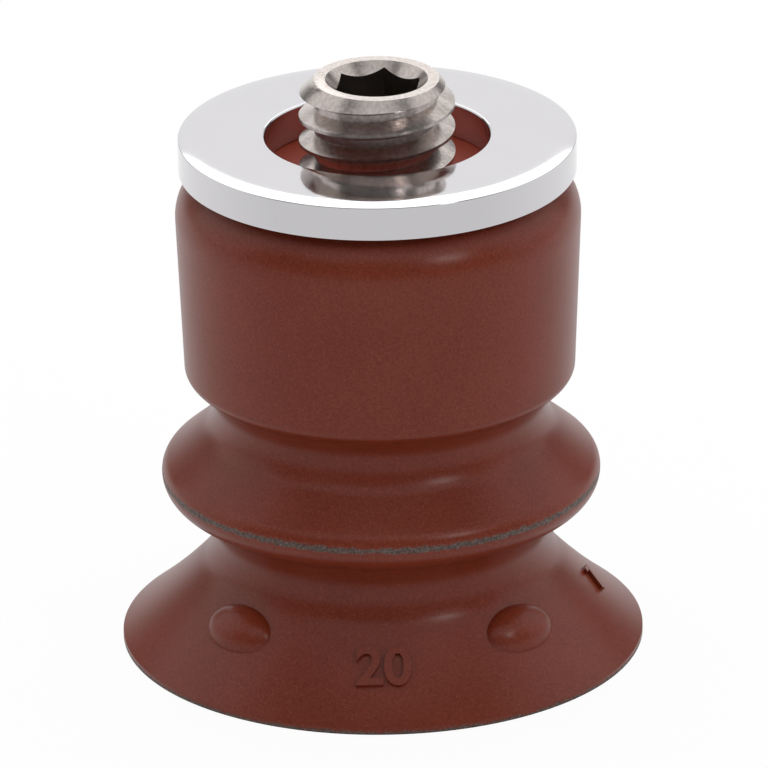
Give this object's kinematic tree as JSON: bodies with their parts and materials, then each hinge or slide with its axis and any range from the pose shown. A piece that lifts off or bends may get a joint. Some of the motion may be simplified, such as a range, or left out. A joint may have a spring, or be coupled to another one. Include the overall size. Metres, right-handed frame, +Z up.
{
  "type": "threaded vacuum suction cup",
  "caption": "Bellows suction cup of red-brown rubber with a bonded metal core, a flat stop ring and a hollow hexagon-socket stud, for gripping parts by vacuum.",
  "frame": {"origin": "middle of the sealing lip's plane, where the cup meets the workpiece", "axes": "+Z up the cup's axis towards the stud; the picture's view is along +Y with +X to the right"},
  "size_m": [0.0198, 0.0198, 0.0226],
  "materials": {
    "stud_steel": "turned",
    "ring_chrome": "polished",
    "core_brass": "turned",
    "cup_rubber": "moulded matt"
  },
  "bodies": {
    "pad_body": {"hollow_stud": "stud_steel", "flange_ring": "ring_chrome", "core_bush": "core_brass", "rubber_sleeve": "cup_rubber", "upper_fold": "cup_rubber"},
    "bellows_waist": {"lower_fold": "cup_rubber"},
    "skirt": {"skirt_wall": "cup_rubber"},
    "lip": {"sealing_lip": "cup_rubber"}
  },
  "joints": [
    {"name": "bellows_stroke", "type": "slide", "parent": "pad_body", "child": "bellows_waist", "axis": [0, 0, 1], "range_m": [0, 0.0035], "stiffness_N_per_m": 1500, "deforming": ["upper_fold", "lower_fold"]},
    {"name": "lip_tilt_x", "type": "hinge", "parent": "bellows_waist", "child": "skirt", "pos_m": [0, 0, 0.00751], "axis": [1, 0, 0], "range_deg": [-6, 6], "stiffness_Nm_per_rad": 0.04, "deforming": ["lower_fold"]},
    {"name": "lip_tilt_y", "type": "hinge", "parent": "skirt", "child": "lip", "pos_m": [0, 0, 0.00751], "axis": [0, 1, 0], "range_deg": [-6, 6], "stiffness_Nm_per_rad": 0.04}
  ]
}
